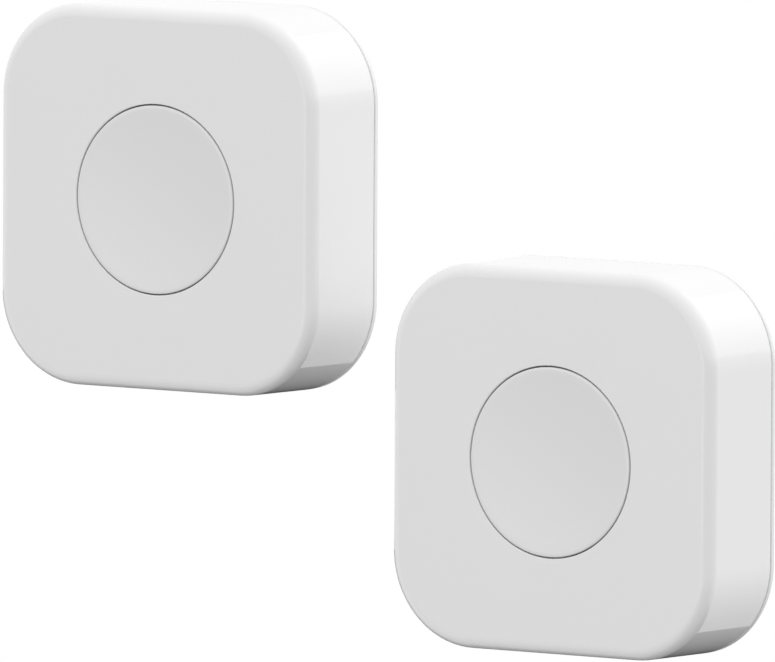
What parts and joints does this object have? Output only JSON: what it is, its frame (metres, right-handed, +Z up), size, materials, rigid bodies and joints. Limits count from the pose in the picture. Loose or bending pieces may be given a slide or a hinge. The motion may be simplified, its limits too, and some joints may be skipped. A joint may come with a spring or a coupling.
{
  "type": "door contact sensor",
  "caption": "Surface-mounted door contact sensor: a sensor half with a push button, reed switch, radio and coin cell, and a matching magnet half, both square with round corners.",
  "frame": {"origin": "centre of the sensor half's back face, where it meets the wall", "axes": "+Z up, -Y out of the wall towards the viewer (both fronts face -Y), +X along the wall from the sensor half towards the magnet half"},
  "size_m": [0.1012, 0.0132, 0.0729],
  "materials": {
    "white_plastic_gloss": "glossy white moulded plastic",
    "white_plastic_cap": "satin white moulded plastic",
    "white_plastic_satin": "satin white moulded plastic",
    "foam_tape": "pale foam tape",
    "black_foam": "closed-cell foam",
    "circuit_board": "green solder mask over glass-fibre board",
    "radio_board": "blue solder mask",
    "zinc_steel": "zinc-plated steel",
    "black_plastic": "moulded black plastic",
    "tinned_metal": "tinned sheet and wire",
    "spring_steel": "bright spring steel",
    "cream_plastic": "moulded cream plastic",
    "reed_glass": "clear green-tinted glass",
    "led_resin": "clear yellowish resin",
    "ceramic_chips": "ceramic chip bodies",
    "cell_steel": "brushed stainless steel",
    "plated_contact": "plated spring contact",
    "grey_plastic": "moulded grey plastic",
    "nickel_plating": "nickel-plated magnet"
  },
  "bodies": {
    "wall_side": {"sensor_base": "white_plastic_satin", "sensor_adhesive_pad": "foam_tape"},
    "sensor_housing": {"sensor_front_shell": "white_plastic_gloss", "sensor_pcb": "circuit_board", "sensor_pcb_screws": "zinc_steel", "switch_body": "black_plastic", "switch_terminals": "tinned_metal", "switch_dome": "spring_steel", "switch_cover": "spring_steel", "reed_glass": "reed_glass", "reed_leads": "tinned_metal", "radio_board": "radio_board", "radio_shield": "tinned_metal", "status_led": "led_resin", "board_passives": "ceramic_chips", "coin_cell": "cell_steel", "battery_holder": "black_plastic", "positive_contact": "plated_contact", "negative_contact": "plated_contact"},
    "sensor_button": {"sensor_button_cap": "white_plastic_cap"},
    "switch_plunger": {"switch_plunger": "cream_plastic"},
    "magnet_wall_side": {"magnet_base": "white_plastic_satin", "magnet_adhesive_pad": "foam_tape"},
    "magnet_housing": {"magnet_front_shell": "white_plastic_gloss", "magnet_cap_pad": "black_foam", "magnet_carrier": "grey_plastic", "magnet_carrier_screws": "zinc_steel", "bar_magnet": "nickel_plating"},
    "magnet_button": {"magnet_cap": "white_plastic_cap"}
  },
  "joints": [
    {"name": "sensor_housing_pull", "type": "slide", "parent": "wall_side", "child": "sensor_housing", "axis": [0, -1, 0], "range_m": [0, 0.02]},
    {"name": "sensor_button_press", "type": "slide", "parent": "sensor_housing", "child": "sensor_button", "axis": [0, 1, 0], "range_m": [0, 0.0004], "stiffness_N_per_m": 800, "springref_m": -0.0003},
    {"name": "switch_plunger_press", "type": "slide", "parent": "sensor_housing", "child": "switch_plunger", "axis": [0, 1, 0], "range_m": [0, 0.0004], "deforming": ["switch_dome"]},
    {"name": "magnet_door_travel", "type": "slide", "parent": "wall_side", "child": "magnet_wall_side", "axis": [1, 0, 0], "range_m": [-0.008, 0.03]},
    {"name": "magnet_housing_pull", "type": "slide", "parent": "magnet_wall_side", "child": "magnet_housing", "axis": [0, -1, 0], "range_m": [0, 0.02]},
    {"name": "magnet_cap_press", "type": "slide", "parent": "magnet_housing", "child": "magnet_button", "axis": [0, 1, 0], "range_m": [0, 0.0004], "stiffness_N_per_m": 800, "springref_m": -0.0003, "deforming": ["magnet_cap_pad"]}
  ],
  "couplings": [
    {"joint": "switch_plunger_press", "follows": "sensor_button_press", "ratio": 1}
  ]
}
